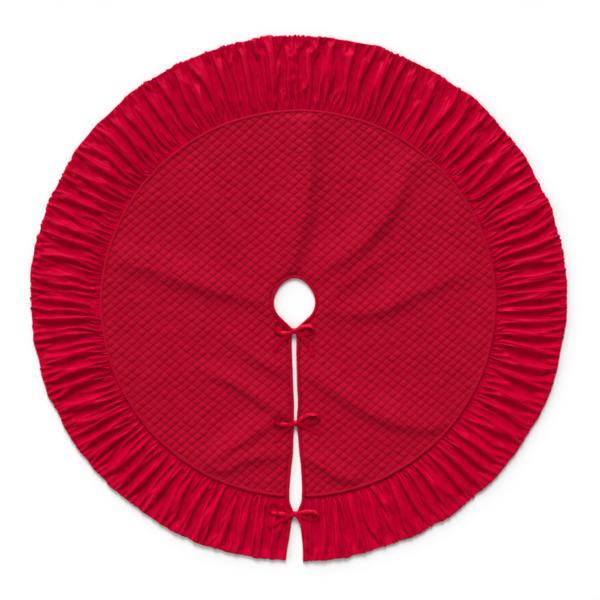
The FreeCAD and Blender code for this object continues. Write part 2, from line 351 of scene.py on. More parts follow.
def feed(tree, socket, value):
    """Link a socket to another one, or give it a value."""
    if isinstance(value, bpy.types.NodeSocket):
        tree.links.new(value, socket)
    else:
        socket.default_value = value


def add_node(tree, kind, **values):
    """A shader node with inputs and settings."""
    item = tree.nodes.new(kind)
    for key, value in values.items():
        if key in item.inputs:
            feed(tree, item.inputs[key], value)
        else:
            setattr(item, key, value)
    return item


def math_node(tree, operation, first, second=0.0):
    """One arithmetic step between sockets or numbers."""
    item = add_node(tree, "ShaderNodeMath", operation=operation)
    for socket, value in zip(item.inputs, (first, second)):
        feed(tree, socket, value)
    return item.outputs[0]


def cloth_material(name, dark, light, roughness, sheen, shine, weave, relief):
    """Woven cloth: two close colours in soft patches, fine threads and a tinted sheen."""
    material = bpy.data.materials.new(name)
    material.use_nodes = True
    tree = material.node_tree
    place = add_node(tree, "ShaderNodeTexCoord").outputs["Object"]
    blotch = add_node(tree, "ShaderNodeTexNoise", Vector=place, Scale=1 / PATCH, Detail=4.0, Roughness=0.6)
    ramp = add_node(tree, "ShaderNodeValToRGB", Fac=blotch.outputs["Fac"])
    for element, position, colour in zip(ramp.color_ramp.elements, PATCH_STOPS, (dark, light)):
        element.position = position
        element.color = (*colour, 1)
    cloth = add_node(tree, "ShaderNodeUVMap", uv_map="cloth").outputs["UV"]
    waves = [add_node(tree, "ShaderNodeTexWave", Vector=cloth, Scale=WAVE_UNIT / weave, Distortion=1.2,
                      Detail=1.0, bands_direction=direction).outputs["Fac"] for direction in ("X", "Y")]
    bump = add_node(tree, "ShaderNodeBump", Strength=0.4, Distance=relief,
                    Height=math_node(tree, "MULTIPLY", *waves))
    bump.name = "weave"
    tint = (*(0.02 + 0.98 * channel / max(light) for channel in light), 1)
    shader = tree.nodes["Principled BSDF"]
    for socket, value in (
        ("Base Color", ramp.outputs["Color"]), ("Normal", bump.outputs["Normal"]), ("Roughness", roughness),
        ("Sheen Weight", sheen), ("Sheen Roughness", 0.4), ("Sheen Tint", tint),
        ("Specular IOR Level", shine), ("Specular Tint", tint),
    ):
        feed(tree, shader.inputs[socket], value)
    return material


def add_relief(tree, height, strength, distance):
    """A bump under the weave of a cloth."""
    bump = add_node(tree, "ShaderNodeBump", Strength=strength, Distance=distance, Height=height)
    tree.links.new(bump.outputs["Normal"], tree.nodes["weave"].inputs["Normal"])


def add_quilting(material):
    """Dashes along the rows of stitching, which the lattice map counts in diamonds."""
    tree = material.node_tree
    lattice = add_node(tree, "ShaderNodeUVMap", uv_map="lattice").outputs["UV"]
    split = add_node(tree, "ShaderNodeSeparateXYZ", Vector=lattice)
    rows = []
    for across, along in (("X", "Y"), ("Y", "X")):
        off = math_node(tree, "PINGPONG", split.outputs[across], 0.5)
        line = math_node(tree, "LESS_THAN", off, STITCH_WIDTH / 2)
        beat = math_node(tree, "FRACT", math_node(tree, "MULTIPLY", split.outputs[along], STITCHES))
        rows.append(math_node(tree, "MULTIPLY", line, math_node(tree, "LESS_THAN", beat, STITCH_SHARE)))
    add_relief(tree, math_node(tree, "MAXIMUM", *rows), 0.8, 0.0004)


def add_wrinkles(material):
    """Fine creases that run across a gathered strip."""
    tree = material.node_tree
    cloth = add_node(tree, "ShaderNodeUVMap", uv_map="cloth").outputs["UV"]
    scaled = add_node(tree, "ShaderNodeMapping", Vector=cloth, Scale=WRINKLES).outputs["Vector"]
    noise = add_node(tree, "ShaderNodeTexNoise", Vector=scaled, Scale=1.0, Detail=3.0, Roughness=0.55)
    add_relief(tree, noise.outputs["Fac"], 0.9, 0.0016)


# Each cloth's two colours, roughness, sheen, shine, and its weave's size and relief.
PANEL_SATIN = ((0.37, 0.0030, 0.020), (0.41, 0.0040, 0.023), 0.52, 0.26, 0.20, 0.0011, 0.00010)
CLOTHS = {
    "quilt_satin": PANEL_SATIN,
    "edge_satin": PANEL_SATIN,
    "border_satin": ((0.43, 0.0, 0.024), (0.57, 0.0, 0.033), 0.42, 0.0, 0.32, 0.0009, 0.00005),
    "binding_satin": ((0.36, 0.001, 0.016), (0.46, 0.002, 0.022), 0.42, 0.20, 0.45, 0.0009, 0.00006),
    "ribbon_satin": ((0.40, 0.0, 0.016), (0.52, 0.0, 0.022), 0.30, 0.10, 0.60, 0.0006, 0.00004),
    "lining_cloth": ((0.28, 0.004, 0.014), (0.36, 0.006, 0.020), 0.75, 0.15, 0.25, 0.0010, 0.00012),
    "batting_fibre": ((0.78, 0.77, 0.74), (0.88, 0.87, 0.85), 0.95, 0.30, 0.10, 0.0040, 0.00080),
    "tape_cloth": ((0.30, 0.004, 0.016), (0.36, 0.006, 0.022), 0.80, 0.10, 0.20, 0.0020, 0.00020),
    "sewing_thread": ((0.36, 0.001, 0.014), (0.50, 0.002, 0.022), 0.45, 0.20, 0.50, 0.0006, 0.00008),
}
MATERIALS = {name: cloth_material(name, *look) for name, look in CLOTHS.items()}
add_quilting(MATERIALS["quilt_satin"])
add_wrinkles(MATERIALS["border_satin"])


# ---------------- gathered border
STRIP_LENGTH = 6.4
BORDER_COLUMNS = 3600
BORDER_ROWS = 48
# Height of the lowest cloth, room for gathers at the seam and the hem, the lowest cloth's rise near
# the hem, and room for the puff between.
GATHER_FLOOR = 0.0020
GATHER_SEAM = 0.0018
GATHER_HEM = 0.0130
HEM_LIFT = 0.0075
HEM_START = 0.82
GATHER_PUFF = 0.0160
# Slack of the cloth across the border, and patches with more: middle, spread and extra.
SLACK = 1.012
LOOSE_PATCHES = ((0.66, 0.05, 0.012), (0.50, 0.015, 0.020), (0.20, 0.04, 0.012))
# Settling: columns, rows, steps and unevenness of each stage, and the height that it starts from.
STAGES = ((420, 16, 260, 0.0050), (1200, 28, 200, 0.0006), (BORDER_COLUMNS, BORDER_ROWS, 120, 0.0001))
START_HEIGHT = 0.006
# The cloth's stiffness against bending, its weight, the share of its motion that lasts, how strongly
# it pulls back to its lengths, how firmly it is held down, how far it slides along its seams, and how
# close its columns may come, as a share of the way between their places.
BEND_STIFFNESS = 0.12
WEIGHT = 1.0e-6
SWING = 0.85
OVER_PULL = 1.6
ROOF_GRIP = 0.6
SEAM_SLIDE = 0.008
CLOSEST = 0.12
# Narrow pleats: depth, then for each family how many lie along the strip, width, share and seed.
PLEAT_DEPTH = 0.0046
PLEATS = ((430, 0.26, 1.0, 72), (800, 0.30, 0.5, 73))
# The hem: how far its last rows share one level and bulge, its farthest pull inwards, and the
# turned-under rows' reach and share of the rim's height.
HEM_LEVEL = ((-3, 0.15), (-2, 0.35), (-1, 0.60))
HEM_BULGE = ((-4, 0.1), (-3, 0.3), (-2, 0.6), (-1, 1.0))
HEM_PULL = 0.0028
UNDER_TURN = ((0.0024, 0.62), (0.0014, 0.20), (-0.0040, 0.04), (-0.0180, 0.02))
TURN_ROW = 0.008


def strip_slack(t):
    """Width of the cloth over the width it covers, with loose patches."""
    slack = SLACK + 0.008 * line_noise(t * 30, 36)
    for middle, spread, extra in LOOSE_PATCHES:
        slack = slack + extra * np.exp(-((t - middle) / spread) ** 2)
    return slack


def row_places(rows):
    """Where the rows lie across the border, closer together near both seams."""
    t = np.linspace(0, 1, rows)
    return 0.45 * t + 0.275 * (1 - np.cos(np.pi * t))


def sewn_place(columns, rows):
    """Where each point of the strip would lie with no gathers."""
    t = np.linspace(0, 1, columns)
    shared = 0.004 * line_noise(t * 22, 41)
    ends = np.sin(np.pi * t) ** 0.5 * np.minimum(1, np.abs(t - 0.5) * 40)
    edges = []
    for ellipse, seed in ((QUILT, 44), (OUTER, 47)):
        first = ellipse_angle(ellipse, slit_end("right", ellipse))
        last = ellipse_angle(ellipse, slit_end("left", ellipse)) + 2 * math.pi
        bunch = shared + 0.0034 * line_noise(t * 26, seed) + 0.0013 * line_noise(t * 120, seed + 20)
        angle = np.interp(t + bunch * ends, (0, 0.5, 1), (first, math.pi / 2, last))
        edges.append(on_ellipse(ellipse, angle))
    v = row_places(rows)[None, :, None]
    place = edges[0][:, None] * (1 - v) + edges[1][:, None] * v
    follow_slit(place, 0, "right", 0.0015)
    follow_slit(place, -1, "left", 0.0015)
    return place.astype(np.float32)


def resample(points, columns, rows):
    """The same strip with more columns and rows."""
    i, f = between(np.linspace(0, 1, points.shape[0]), np.linspace(0, 1, columns))
    j, g = between(row_places(points.shape[1]), row_places(rows))
    f, g = f[:, None, None], g[None, :, None]
    points = points[i] * (1 - f) + points[i + 1] * f
    return (points[:, j] * (1 - g) + points[:, j + 1] * g).astype(np.float32)


def thread_families(columns, rows, widths):
    """The lengths that the cloth keeps: to neighbours, along diagonals and over two steps."""
    v = row_places(rows)
    along = STRIP_LENGTH / (columns - 1)
    across = widths[:, None] * np.diff(v)[None, :]
    across_two = widths[:, None] * (v[2:] - v[:-2])[None, :]
    diagonal = np.hypot(along, across[1:])
    families = []
    for di, dj, rest, stiffness in (
        (1, 0, along, 1.0), (0, 1, across, 1.0), (1, 1, diagonal, 0.5), (1, -1, diagonal, 0.5),
        (2, 0, 2 * along, BEND_STIFFNESS), (0, 2, across_two, BEND_STIFFNESS),
    ):
        low, high = max(0, -dj), rows - max(0, dj)
        first = (slice(0, columns - di), slice(low, high))
        second = (slice(di, columns), slice(low + dj, high + dj))
        families.append((first, second, np.float32(rest), stiffness))
    return families


def lowest_height(rows):
    """Lowest height of each row, a little higher towards the hem."""
    return GATHER_FLOOR + HEM_LIFT * ease(row_places(rows), HEM_START, 1.0)


def highest_height(columns, rows):
    """Highest height at each point: gathers puff up between the seams."""
    t, v = np.linspace(0, 1, columns), row_places(rows)
    tall = (1 + 0.30 * line_noise(t * 70, 53)) * (0.45 + 0.55 * ease(np.minimum(t, 1 - t), 0.0, 0.025))
    roof = GATHER_FLOOR + GATHER_SEAM + (GATHER_HEM - GATHER_SEAM) * v[None, :] ** 2
    return roof + GATHER_PUFF * tall[:, None] * (np.sin(np.pi * v) ** 0.8 * ease(v, -0.02, 0.06))[None, :]


def thread_pull(points, families):
    """How far the lengths that the cloth keeps pull each point."""
    pull = np.zeros_like(points)
    for first, second, rest, stiffness in families:
        gap = points[second] - points[first]
        length = np.sqrt(np.einsum("ijk,ijk->ij", gap, gap)) + 1e-9
        gap *= ((length - rest) / length * (0.5 * stiffness))[..., None]
        pull[first] += gap
        pull[second] -= gap
    return pull


def hold_seams(points, place, heading):
    """Hold both edges, which may slide a little along their seams, both ends and the middle."""
    columns, rows = points.shape[:2]
    for row in (0, rows - 1):
        off = points[:, row, :2] - place[:, row]
        along_seam = heading[np.minimum(np.arange(columns), columns - 2), row]
        slide = np.clip((off * along_seam).sum(-1), -SEAM_SLIDE, SEAM_SLIDE)
        points[:, row, :2] = place[:, row] + slide[:, None] * along_seam
    for column in (0, columns // 2, columns - 1):
        points[column, :, :2] = place[column]


def keep_apart(points, heading, closest):
    """Push neighbouring columns apart where they come too close."""
    step = ((points[1:, :, :2] - points[:-1, :, :2]) * heading).sum(-1)
    push = (np.maximum(closest - step, 0) * 0.5)[..., None] * heading
    points[1:, :, :2] += push
    points[:-1, :, :2] -= push


def settle(points, steps):
    """Let the strip find its folds: cloth keeps its lengths, seams hold its edges."""
    columns, rows = points.shape[:2]
    place = sewn_place(columns, rows)
    widths = strip_slack(np.linspace(0, 1, columns)) * np.linalg.norm(place[:, -1] - place[:, 0], axis=1)
    families = thread_families(columns, rows, widths)
    share = np.zeros((columns, rows, 1), np.float32)
    for first, second, _, stiffness in families:
        share[first] += stiffness
        share[second] += stiffness
    span = place[1:] - place[:-1]
    width = np.linalg.norm(span, axis=-1, keepdims=True)
    heading = span / width
    closest = CLOSEST * width[..., 0]
    ground = lowest_height(rows)[None, :].astype(np.float32)
    roof = highest_height(columns, rows).astype(np.float32)
    before = points.copy()
    for _ in range(steps):
        motion = points - before
        before = points.copy()
        points = points + SWING * motion
        points[..., 2] -= WEIGHT
        points += OVER_PULL * thread_pull(points, families) / share
        hold_seams(points, place, heading)
        keep_apart(points, heading, closest)
        height = points[..., 2]
        np.maximum(height, ground, out=height)
        height -= ROOF_GRIP * np.maximum(height - roof, 0)
    return points


def gathered_strip():
    """The whole border strip, gathered and settled from coarse folds to fine pleats."""
    random = np.random.default_rng(11)
    points = None
    for columns, rows, steps, shake in STAGES:
        if points is None:
            points = np.zeros((columns, rows, 3), np.float32)
            points[..., :2] = sewn_place(columns, rows)
            points[..., 2] = START_HEIGHT + random.normal(size=(columns, 1)) * shake
            points[..., 2] += random.normal(size=(columns, rows)) * shake / 3
        else:
            points = resample(points, columns, rows)
            points[..., 2] += random.normal(size=(columns, rows)) * shake
        points = settle(points, steps)
    return points


def pleat_depth():
    """Narrow pleats across the border, deeper towards both rows of gathering."""
    t, v = np.linspace(0, 1, BORDER_COLUMNS)[:, None], row_places(BORDER_ROWS)[None, :]
    depth = PLEAT_DEPTH * (0.30 + 0.80 * np.abs(2 * v - 1) ** 1.8)
    depth = depth * np.clip(0.75 + 1.3 * value_noise(t * 90, v * 2.5 + 0.5, 71), 0.0, 1.6)
    total = np.zeros_like(depth)
    for pitch, reach, share, seed in PLEATS:
        total += share * depth * np.exp(-(value_noise(t * pitch, v * 1.7, seed) / reach) ** 2)
    return total


def shape_hem(strip, pleats):
    """Level and bulge the last rows, and return the turned-under rows."""
    level = smoothed(strip[:, -1, 2], 120)
    for row, share in HEM_LEVEL:
        strip[:, row, 2] += share * (level - strip[:, row, 2])
    rim = strip[:, -1].copy()
    out = unit(rim[:, :2] - OUTER[0])
    t = np.linspace(0, 1, BORDER_COLUMNS)
    crest = (rim[:, 2] - GATHER_FLOOR) / GATHER_HEM
    bulge = 0.0020 * (crest - 0.5) + 0.0036 * line_noise(t * 75, 57) - 0.7 * pleats[:, -1] + 0.0014
    bulge = np.where(bulge < 0, -HEM_PULL * np.tanh(-bulge / HEM_PULL), bulge)
    for row, share in HEM_BULGE:
        strip[:, row, :2] += out * share * bulge[:, None]
    turned = []
    for reach, lift in UNDER_TURN:
        row = rim.copy()
        row[:, :2] += out * (reach + bulge * (reach > 0))[:, None]
        row[:, 2] = GATHER_FLOOR * 0.6 + (rim[:, 2] - GATHER_FLOOR) * lift
        turned.append(row)
    return np.stack(turned, 1)


def border():
    """Both halves of the border, with the outer edge turned under."""
    strip = gathered_strip().astype(float)
    pleats = pleat_depth()
    strip[..., 2] = np.maximum(strip[..., 2] - pleats, lowest_height(BORDER_ROWS))
    turned = shape_hem(strip, pleats)
    strip = np.concatenate([strip, turned], 1)
    width = float(OUTER[1].mean() - QUILT[1].mean())
    turned_across = width + TURN_ROW * np.arange(1, 1 + len(UNDER_TURN))
    across = np.concatenate([row_places(BORDER_ROWS) * width, turned_across])
    uv = pairs(np.linspace(0, STRIP_LENGTH, BORDER_COLUMNS), across)
    half = BORDER_COLUMNS // 2
    for side, part in (("right", slice(0, half + 1)), ("left", slice(half, BORDER_COLUMNS))):
        item = grid_object(f"gathered_border_{side}", strip[part], "border_satin", uv[part], flip=True)
        bend(item, (f"ruched_border_{side}", f"ruched_border_back_{side}"))


# ---------------- quilted panel
# Rows of stitching run two ways; each diamond between them is padded up. A diamond's two sides and
# the directions of its rows, points along a side, and diamonds from the trunk's centre to the end.
RISE_SIDE, RISE_TURN = 0.0207, math.radians(42)
FALL_SIDE, FALL_TURN = 0.0192, math.radians(-36)
CELLS = 8
DIAMONDS = 46
# How the rows fan out towards both sides, and how far they wander.
FAN = 0.117
WANDER = 0.0022
# Height of the stitched valleys and of the pads over them, a pad's lean and roundness, and how much
# pads differ.
VALLEY = 0.0062
PUFF = 0.0035
SAG = 0.76
ROUND = 0.42
FULLNESS = (0.60, 1.20)
PUCKER = 0.00025
# Height of the flat band along the quilt's edges, its fall over the last stretch, and the ditch
# beside the binding.
BAND = 0.0097
BAND_FALL = 0.0018
BINDING_DITCH = 0.0030
QUILT_MARGIN = 0.004
BATTING_TOP = 0.0035

# Soft creases that spread from the opening and the bows: points along each, its height and its half
# width, in millimetres.
CREASES = (
    (((36, 590), (47, 440), (32, 272), (3, 150), (-30, 80)), 17.1, 30),
    (((-255, 370), (-220, 280), (-178, 204), (-105, 90)), 10.45, 34),
    (((-230, 380), (-195, 290), (-153, 214), (-80, 100)), -5.7, 14),
    (((330, 390), (300, 310), (262, 243), (188, 164), (75, 85)), 15.2, 28),
    (((260, 140), (203, 98), (90, 10)), 8.55, 26),
    (((84, -24), (203, -32), (351, 27), (480, 80)), 11.4, 26),
    (((-500, 120), (-375, 84), (-272, 48), (-168, 18), (-80, -4)), 14.25, 28),
    (((-250, -200), (-160, -240), (-85, -288), (-26, -328)), 11.4, 17),
    (((-230, -445), (-123, -378), (-40, -335)), 10.45, 18),
    (((-300, -515), (-138, -451), (-26, -430)), 10.45, 22),
    (((-170, -115), (-64, -185), (-22, -205)), 9.5, 20),
    (((22, -191), (173, -292), (262, -335), (430, -368)), 14.25, 24),
    (((22, -436), (99, -480), (190, -530)), 11.4, 16),
)
# The steeper side of a crease, and its reach on both sides, in half widths.
STEEP_SIDE = np.array([0.6, -0.8])
STEEP_REACH, GENTLE_REACH = 0.85, 2.0
CREASE_END = 0.03
CREASE_WANDER = 0.004


def crease_height(x, y):
    """Height of the soft creases, with a broad unevenness."""
    total = 0.0008 * value_noise(x / 0.16 + 9, y / 0.16 + 9, 21) + lumps(x, y, 0.07, 0.0006, 22)
    for knots, height, width in CREASES:
        knots, height, width = np.array(knots) * MM, height * MM, width * MM
        chord = path_length(knots)
        at = np.linspace(0, chord[-1], 40)
        line = np.stack([smooth_curve(list(zip(chord, column)), at) for column in knots.T], -1)
        heading = unit(np.gradient(line, axis=0))
        across = np.stack([-heading[:, 1], heading[:, 0]], -1)
        across *= np.sign(across @ STEEP_SIDE)[:, None]
        apart = [(x - px) ** 2 + (y - py) ** 2 for px, py in line]
        nearest = np.argmin(apart, axis=0)
        aside = (x - line[nearest, 0]) * across[nearest, 0] + (y - line[nearest, 1]) * across[nearest, 1]
        beyond = np.sqrt(np.maximum(np.min(apart, axis=0) - aside ** 2, 0))
        t = at[nearest] / at[-1]
        fade = (0.35 + 0.65 * np.sin(np.pi * t) ** 0.7) * np.exp(-(beyond / CREASE_END) ** 2)
        aside = aside + lumps(x, y, 0.05, CREASE_WANDER, 23)
        reach = np.where(aside > 0, STEEP_REACH, GENTLE_REACH) * width
        total = total + height * fade * np.exp(-np.abs(aside / reach) ** 1.8)
    return total


def inside_quilt(x, y):
    """How far points lie inside the quilt's edge."""
    centre, half = QUILT
    x, y = x - centre[0], y - centre[1]
    edge = on_ellipse(QUILT, np.arctan2(y / half[1], x / half[0])) - centre
    return np.hypot(edge[..., 0], edge[..., 1]) - np.hypot(x, y)


def clear_of_openings(x, y):
    """How far points lie clear of the trunk opening and of the slit."""
    hole = np.hypot(x, y) - TRUNK_RADIUS - stretch(np.arctan2(y, x))
    below = -y
    left, right = slit_x("left", below), slit_x("right", below)
    slit = np.where(x > left / 2 + right / 2, x - right, left - x)
    slit = np.where(below > COLLAR_POINT, slit, 1.0)
    touch = -math.sin(collar_touch("right")) * TRUNK_RADIUS
    touch_x = math.cos(collar_touch("right")) * TRUNK_RADIUS
    wedge_x = np.abs(x) - touch_x * (COLLAR_POINT - below) / (COLLAR_POINT - touch)
    wedge = np.where((below > touch) & (below <= COLLAR_POINT), wedge_x * 0.7, 1.0)
    return np.minimum(np.minimum(hole, slit), wedge)


def quilt_plan(u, w):
    """Places of points that are counted in diamonds along both ways of stitching."""
    x = u * RISE_SIDE * math.cos(RISE_TURN) + w * FALL_SIDE * math.cos(FALL_TURN)
    y = u * RISE_SIDE * math.sin(RISE_TURN) + w * FALL_SIDE * math.sin(FALL_TURN)
    x = x + WANDER * value_noise(u / 2.3 + 5, w / 2.3 + 5, 31)
    y = y + 0.5 * FAN * x * x + WANDER * value_noise(u / 2.3 + 5, w / 2.3 + 5, 32)
    return x, y


def pad_height(u, w):
    """Height of the padded diamonds, puckered along their stitching."""
    sag_u, sag_w = (u % 1) ** SAG, 1 - (1 - w % 1) ** SAG
    pad = (np.sin(np.pi * sag_u) * np.sin(np.pi * sag_w)) ** ROUND
    fullness = np.random.default_rng(5).uniform(*FULLNESS, (2 * DIAMONDS + 1, 2 * DIAMONDS + 1))
    iu, iw = (u + DIAMONDS).astype(int), (w + DIAMONDS).astype(int)
    pucker = PUCKER * value_noise(u * 5, w * 1.5, 33) * np.abs(np.sin(np.pi * u))
    return VALLEY + PUFF * pad * fullness[iu, iw] + pucker


def quilt_height(u, w, creases, inside, clear):
    """Height of the quilt: pads that flatten into a band along its edges, and creases."""
    height = pad_height(u, w) - 0.0016 * (1 - ease(clear, 0.006, 0.016))
    flatten = ease(np.minimum(inside, clear + 0.003), 0.001, 0.013)
    band = BAND - BAND_FALL * (1 - ease(inside, 0.003, 0.0078))
    ditch = BINDING_DITCH * (1 - ease(clear, 0.009, 0.019))
    return np.maximum(band + (height - band) * flatten - ditch + creases, BATTING_TOP)


def right_of_middle(x, y):
    """Which quads belong to the right half, split between diamonds above the slit."""
    middle = np.arange(len(x) - 1) // CELLS * CELLS + CELLS // 2
    diamond_x = x[np.ix_(middle, middle)]
    x, y = x[:-1, :-1], y[:-1, :-1]
    beside_slit = x > (slit_x("left", -y) + slit_x("right", -y)) / 2
    return np.where(y > 0, diamond_x > 0, beside_slit)


def quilt():
    """The quilted face, whose halves meet in the stitching at the centre back."""
    count = 2 * DIAMONDS * CELLS + 1
    at = np.arange(count) / CELLS - DIAMONDS
    u, w = at[:, None], at[None, :]
    x, y = quilt_plan(u, w)
    inside, clear = inside_quilt(x, y), clear_of_openings(x, y)
    keep = (inside > QUILT_MARGIN) & (clear > QUILT_MARGIN)
    creases = np.zeros_like(x)
    creases[keep] = crease_height(x[keep], y[keep]) * ease(inside[keep], 0.004, 0.034)
    points = np.stack([x, y, quilt_height(u, w, creases, inside, clear)], -1).reshape(-1, 3)
    quads = grid_faces(count, count, flip=True).reshape(count - 1, count - 1, 4)
    whole = keep.ravel()[quads].all(-1)
    right = right_of_middle(x, y)
    lattice = pairs(at, at).reshape(-1, 2)
    for side, mine in (("left", ~right), ("right", right)):
        used, faces = np.unique(quads[whole & mine], return_inverse=True)
        item = mesh_object(f"quilted_satin_{side}", points[used], faces.reshape(-1, 4), "quilt_satin",
                           points[used, :2])
        add_uv(item, "lattice", lattice[used])
        bend(item, (f"quilted_face_{side}", "quilted_face_back"))


# The folded edge of the quilt: distance in from its outline, and height.
EDGE_SECTION = np.array([(7.4, 8.7), (6.4, 9.5), (5.2, 10.1), (3.8, 10.4), (2.3, 10.2), (0.9, 9.5),
                         (-0.3, 8.0), (-1.2, 5.6), (-0.6, 4.1), (2.2, 3.3), (6.0, 3.0)]) * MM
EDGE_PITCH = 0.0022


def quilt_edge():
    """The smooth folded edge of the quilt, sewn over the gathers of the border."""
    length = half_perimeter(QUILT)
    across = path_length(EDGE_SECTION)
    for side in SIDES:
        # The first two columns would stick out into the slit, past the binding.
        line = half_edge(side, QUILT, int(length / EDGE_PITCH))[2:]
        along = path_length(line)
        inward = unit(QUILT[0] - line)
        tug = 0.0007 * line_noise(along / 0.013, 61) + 0.0008 * line_noise(along / 0.05, 62)
        swell = 1 + 0.05 * line_noise(along / 0.018, 64) + 0.06 * line_noise(along / 0.07, 65)
        swell = swell * (0.45 + 0.55 * ease(along, 0.002, 0.014))
        grid = swept(line, inward, EDGE_SECTION[:, 0] + tug[:, None], EDGE_SECTION[:, 1] * swell[:, None])
        uv = pairs(along, across)
        item = grid_object(f"quilt_edge_{side}", grid, "edge_satin", uv, flip=side == "left")
        bend(item, ())


# ---------------- lining, batting and tapes
LINING_TOP = 0.0007
LINING_INSET = 0.008
BATTING_INSET = 0.006
BATTING_FLOOR = 0.0017
TAPE_HEIGHT = 0.0011
TAPE_PITCH = 0.004
TAPE_ROWS = 9
# Each tape's edges, measured outwards from the outline that it follows.
TAPES = (("seam_tape", QUILT, -0.012, 0.012), ("hem_tape", OUTER, -0.029, -0.003))


def lining():
    """The plain woven lining under the whole skirt, a little inside the hem."""
    for side in SIDES:
        place = half_skirt(side, 460, 100, LINING_INSET, 0.0015, OUTER)
        x, y = np.moveaxis(place, -1, 0)
        ripple = lumps(x, y, 0.05, 0.00022, 71) + lumps(x, y, 0.013, 0.00012, 72)
        grid = np.dstack([place, LINING_TOP + ripple])
        item = grid_object(f"lining_cloth_{side}", grid, "lining_cloth", place, flip=side == "left")
        bend(item, (f"lining_{side}", "lining_back"))


def batting():
    """The fibre sheet between the lining and the quilted face."""
    for side in SIDES:
        place = half_skirt(side, 400, 60, BATTING_INSET, BATTING_INSET, QUILT)
        x, y = np.moveaxis(place, -1, 0)
        heights = BATTING_FLOOR + 0 * x, BATTING_TOP - 0.0004 + lumps(x, y, 0.02, 0.0003, 73)
        columns, rows = x.shape
        count = columns * rows
        faces = [grid_faces(columns, rows, flip=side == "right"),
                 grid_faces(columns, rows, flip=side == "left") + count]
        index = np.arange(count).reshape(columns, rows)
        for line in (index[:, -1], index[-1, ::-1], index[::-1, 0], index[0, :]):
            wall = np.stack([line[:-1], line[1:], line[1:] + count, line[:-1] + count], -1)
            faces.append(wall if side == "left" else wall[:, ::-1])
        points = np.concatenate([np.dstack([place, height]) for height in heights]).reshape(-1, 3)
        item = mesh_object(f"batting_sheet_{side}", points, np.concatenate(faces), "batting_fibre",
                           points[:, :2])
        bend(item, (f"batting_{side}", "batting_back"))


def tapes():
    """The flat tapes that hold the gathers, at the seam and at the hem."""
    for name, ellipse, first, last in TAPES:
        length = half_perimeter(ellipse)
        for side in SIDES:
            place = np.stack([half_edge(side, ellipse, int(length / TAPE_PITCH), grow)
                              for grow in np.linspace(first, last, TAPE_ROWS)], 1)
            x, y = np.moveaxis(place, -1, 0)
            grid = np.dstack([place, TAPE_HEIGHT + lumps(x, y, 0.01, 0.0001, 74)])
            item = grid_object(f"{name}_strip_{side}", grid, "tape_cloth", place, flip=side == "left")
            bend(item, (f"{name}_{side}", f"{name}_back"))


# ---------------- bindings and their stitches
# Folded strip round the edge, from its lower edge to its upper one: distance in, and height.
BINDING_SECTION = np.array([(8.8, 0.5), (5.0, 0.25), (2.0, 0.25), (0.5, 0.9), (0.0, 2.6), (0.0, 5.0),
                            (0.5, 7.2), (1.7, 8.9), (3.4, 9.8), (5.0, 9.8), (6.3, 9.2), (7.1, 8.6),
                            (7.8, 9.0), (8.7, 8.8), (9.2, 7.4), (9.3, 4.6)]) * MM
BINDING_PITCH = 1.6 * MM
STITCH_ROW = 7.1 * MM
STITCH_HEIGHT = 8.9 * MM
STITCH_PITCH = 3.3 * MM
STITCH_LENGTH = 2.5 * MM
STITCH_SIDES = 6
THREAD_RADIUS = 0.4 * MM


def stitch_mesh(name, starts, ends):
    """Short raised stitches that taper at both ends."""
    run = ends - starts
    along = unit(run)
    side = unit(np.cross(along, (0, 0, 1)))
    up = np.cross(side, along)
    rings = [starts[:, None]]
    for share in (0.22, 0.78):
        centre = starts + run * share
        rings.append(np.stack([centre + THREAD_RADIUS * (math.cos(turn) * side + math.sin(turn) * up)
                               for turn in np.arange(STITCH_SIDES) * 2 * math.pi / STITCH_SIDES], 1))
    rings.append(ends[:, None])
    points = np.concatenate(rings, 1)
    tip = 2 * STITCH_SIDES + 1
    faces = []
    for i in range(STITCH_SIDES):
        a, b = 1 + i, 1 + (i + 1) % STITCH_SIDES
        c, d = a + STITCH_SIDES, b + STITCH_SIDES
        faces += [(0, a, b), (a, c, d), (a, d, b), (c, tip, d)]
    faces = np.array(faces)[None] + (tip + 1) * np.arange(len(points))[:, None, None]
    points = points.reshape(-1, 3)
    return mesh_object(name, points, faces.reshape(-1, 3), "sewing_thread", points[:, :2])


def binding_line(side):
    """The bound edge of a half, from the centre back down the slit, with its directions."""
    end = -slit_end(side, OUTER)[1]
    line = np.concatenate([collar_edge(side)[::-1], slit_edge(side, COLLAR_POINT, end - 0.001)[1:]])
    line = smoothed(spaced(line, int(path_length(line)[-1] / BINDING_PITCH)), 3)
    tangent = unit(np.gradient(line, axis=0))
    inward = SIDES[side] * np.stack([-tangent[:, 1], tangent[:, 0]], -1)
    return line, tangent, inward


def topstitch(side, line, tangent, inward):
    """The row of stitches along the top of a binding."""
    along = path_length(line)
    at = np.arange(0.004, along[-1] - 0.004, STITCH_PITCH)
    place, heading, aside = (sampled(points, along, at) for points in (line, tangent, inward))
    middle = np.column_stack([place + aside * STITCH_ROW, np.full(len(at), STITCH_HEIGHT)])
    reach = np.column_stack([heading * STITCH_LENGTH / 2, np.zeros(len(at))])
    item = stitch_mesh(f"binding_topstitch_{side}", middle - reach, middle + reach)
    bend(item, ())


